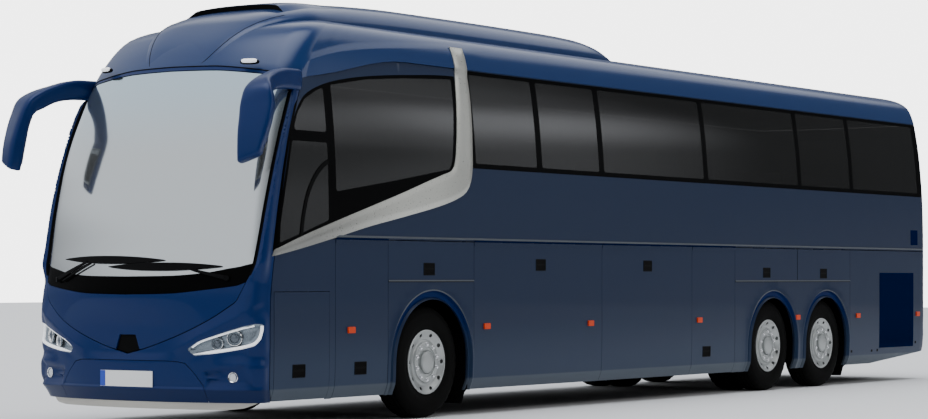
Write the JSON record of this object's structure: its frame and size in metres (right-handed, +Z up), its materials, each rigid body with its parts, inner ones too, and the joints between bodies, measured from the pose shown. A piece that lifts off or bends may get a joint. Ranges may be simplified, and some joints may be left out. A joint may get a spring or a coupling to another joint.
{
  "type": "coach bus",
  "caption": "High-floor three-axle touring coach with glazed saloon, roof fairing, drop mirrors, side luggage flaps and swinging passenger doors.",
  "frame": {"origin": "on the ground under the middle of the coach's overall box", "axes": "+X forward, +Y to the coach's left, +Z up"},
  "size_m": [14.2356, 2.9956, 3.895],
  "materials": {
    "body_blue": "gloss",
    "panel_blue": "gloss",
    "roof_blue": "gloss",
    "frame_black": "satin",
    "floor_grey": "matte",
    "lip_cream": "satin",
    "screen_glass": "gloss",
    "dark_glass": "gloss",
    "seat_cloth": "matte",
    "dash_plastic": "matte",
    "engine_iron": "satin",
    "lamp_clear": "gloss",
    "mirror_blue": "gloss",
    "wiper_black": "matte",
    "trim_silver": "brushed",
    "axle_black": "satin",
    "tyre_black": "matte",
    "rim_metal": "polished",
    "arm_steel": "satin"
  },
  "bodies": {
    "coach": {"frame_rails": "frame_black", "wheel_housings": "frame_black", "luggage_floor": "frame_black", "bulkheads": "frame_black", "cabin_floor": "floor_grey", "cab_platform": "floor_grey", "middle_steps": "floor_grey", "front_mask": "body_blue", "front_lip": "lip_cream", "windscreen": "screen_glass", "a_pillars": "body_blue", "roof": "roof_blue", "roof_pod": "roof_blue", "left_wall": "body_blue", "right_wall": "body_blue", "lower_panels": "body_blue", "windows": "dark_glass", "rear_wall": "body_blue", "seats": "seat_cloth", "dashboard": "dash_plastic", "engine": "engine_iron", "lamps": "lamp_clear", "mirrors": "mirror_blue", "wipers": "wiper_black", "side_trim": "trim_silver", "front_axle": "axle_black", "drive_axle": "axle_black", "tag_axle": "axle_black"},
    "left_steer": {"left_knuckle": "axle_black"},
    "right_steer": {"right_knuckle": "axle_black"},
    "front_left_wheel": {"front_left_tyre": "tyre_black", "front_left_rim": "rim_metal"},
    "front_right_wheel": {"front_right_tyre": "tyre_black", "front_right_rim": "rim_metal"},
    "drive_left_wheel": {"drive_left_tyres": "tyre_black", "drive_left_rims": "rim_metal"},
    "drive_right_wheel": {"drive_right_tyres": "tyre_black", "drive_right_rims": "rim_metal"},
    "tag_left_wheel": {"tag_left_tyre": "tyre_black", "tag_left_rim": "rim_metal"},
    "tag_right_wheel": {"tag_right_tyre": "tyre_black", "tag_right_rim": "rim_metal"},
    "front_flap": {"front_flap": "panel_blue"},
    "left_front_hatch": {"left_front_hatch": "panel_blue"},
    "left_rear_hatch": {"left_rear_hatch": "panel_blue"},
    "left_luggage_door_front": {"left_luggage_door_front": "panel_blue"},
    "left_luggage_door_rear": {"left_luggage_door_rear": "panel_blue"},
    "left_locker_door": {"left_locker_door": "panel_blue"},
    "right_luggage_door_front": {"right_luggage_door_front": "panel_blue"},
    "right_luggage_door_rear": {"right_luggage_door_rear": "panel_blue"},
    "entrance_arm": {"entrance_arm": "arm_steel"},
    "entrance_door": {"entrance_door": "panel_blue"},
    "middle_arm": {"middle_arm": "arm_steel"},
    "middle_door": {"middle_door": "panel_blue"},
    "engine_door": {"engine_door": "panel_blue"}
  },
  "joints": [
    {"name": "steer_left", "type": "hinge", "parent": "coach", "child": "left_steer", "pos_m": [4.195, 0.965, 0.522], "axis": [0, 0, 1], "range_deg": [-42, 42]},
    {"name": "steer_right", "type": "hinge", "parent": "coach", "child": "right_steer", "pos_m": [4.195, -0.965, 0.522], "axis": [0, 0, 1], "range_deg": [-42, 42]},
    {"name": "front_left_spin", "type": "hinge", "parent": "left_steer", "child": "front_left_wheel", "pos_m": [4.195, 1.075, 0.522], "axis": [0, 1, 0], "continuous": true},
    {"name": "front_right_spin", "type": "hinge", "parent": "right_steer", "child": "front_right_wheel", "pos_m": [4.195, -1.075, 0.522], "axis": [0, 1, 0], "continuous": true},
    {"name": "drive_left_spin", "type": "hinge", "parent": "coach", "child": "drive_left_wheel", "pos_m": [-2.695, 1.075, 0.522], "axis": [0, 1, 0], "continuous": true},
    {"name": "drive_right_spin", "type": "hinge", "parent": "coach", "child": "drive_right_wheel", "pos_m": [-2.695, -1.075, 0.522], "axis": [0, 1, 0], "continuous": true},
    {"name": "tag_left_spin", "type": "hinge", "parent": "coach", "child": "tag_left_wheel", "pos_m": [-4.085, 1.075, 0.522], "axis": [0, 1, 0], "continuous": true},
    {"name": "tag_right_spin", "type": "hinge", "parent": "coach", "child": "tag_right_wheel", "pos_m": [-4.085, -1.075, 0.522], "axis": [0, 1, 0], "continuous": true},
    {"name": "left_front_hatch_hinge", "type": "hinge", "parent": "coach", "child": "left_front_hatch", "pos_m": [6.158, 1.282, 1.195], "axis": [1, 0, 0], "range_deg": [0, 90]},
    {"name": "left_rear_hatch_hinge", "type": "hinge", "parent": "coach", "child": "left_rear_hatch", "pos_m": [5.2905, 1.282, 1.654], "axis": [1, 0, 0], "range_deg": [0, 95]},
    {"name": "left_luggage_door_front_hinge", "type": "hinge", "parent": "coach", "child": "left_luggage_door_front", "pos_m": [2.3205, 1.282, 1.654], "axis": [1, 0, 0], "range_deg": [0, 95]},
    {"name": "left_luggage_door_rear_hinge", "type": "hinge", "parent": "coach", "child": "left_luggage_door_rear", "pos_m": [0.187, 1.282, 1.654], "axis": [1, 0, 0], "range_deg": [0, 95]},
    {"name": "left_locker_door_hinge", "type": "hinge", "parent": "coach", "child": "left_locker_door", "pos_m": [-1.2635, 1.282, 1.654], "axis": [1, 0, 0], "range_deg": [0, 95]},
    {"name": "right_luggage_door_front_hinge", "type": "hinge", "parent": "coach", "child": "right_luggage_door_front", "pos_m": [2.3205, -1.282, 1.654], "axis": [-1, 0, 0], "range_deg": [0, 95]},
    {"name": "right_luggage_door_rear_hinge", "type": "hinge", "parent": "coach", "child": "right_luggage_door_rear", "pos_m": [0.176, -1.282, 1.654], "axis": [-1, 0, 0], "range_deg": [0, 95]},
    {"name": "front_flap_hinge", "type": "hinge", "parent": "coach", "child": "front_flap", "pos_m": [7.027, 0, 0.592], "axis": [0, -1, 0], "range_deg": [0, 105]},
    {"name": "engine_door_hinge", "type": "hinge", "parent": "coach", "child": "engine_door", "pos_m": [-7.157, 0, 1.648], "axis": [0, 1, 0], "range_deg": [0, 85]},
    {"name": "entrance_swing", "type": "hinge", "parent": "coach", "child": "entrance_arm", "pos_m": [6.415, -1.13, 0.9], "axis": [0, 0, 1], "range_deg": [0, 95]},
    {"name": "entrance_follow", "type": "hinge", "parent": "entrance_arm", "child": "entrance_door", "pos_m": [5.945, -1.13, 0.9], "axis": [0, 0, 1], "range_deg": [-95, 0]},
    {"name": "middle_swing", "type": "hinge", "parent": "coach", "child": "middle_arm", "pos_m": [-1.665, -1.13, 0.9], "axis": [0, 0, -1], "range_deg": [0, 95]},
    {"name": "middle_follow", "type": "hinge", "parent": "middle_arm", "child": "middle_door", "pos_m": [-1.195, -1.13, 0.9], "axis": [0, 0, -1], "range_deg": [-95, 0]}
  ],
  "couplings": [
    {"joint": "steer_right", "follows": "steer_left", "ratio": 1},
    {"joint": "entrance_follow", "follows": "entrance_swing", "ratio": -1},
    {"joint": "middle_follow", "follows": "middle_swing", "ratio": -1}
  ]
}
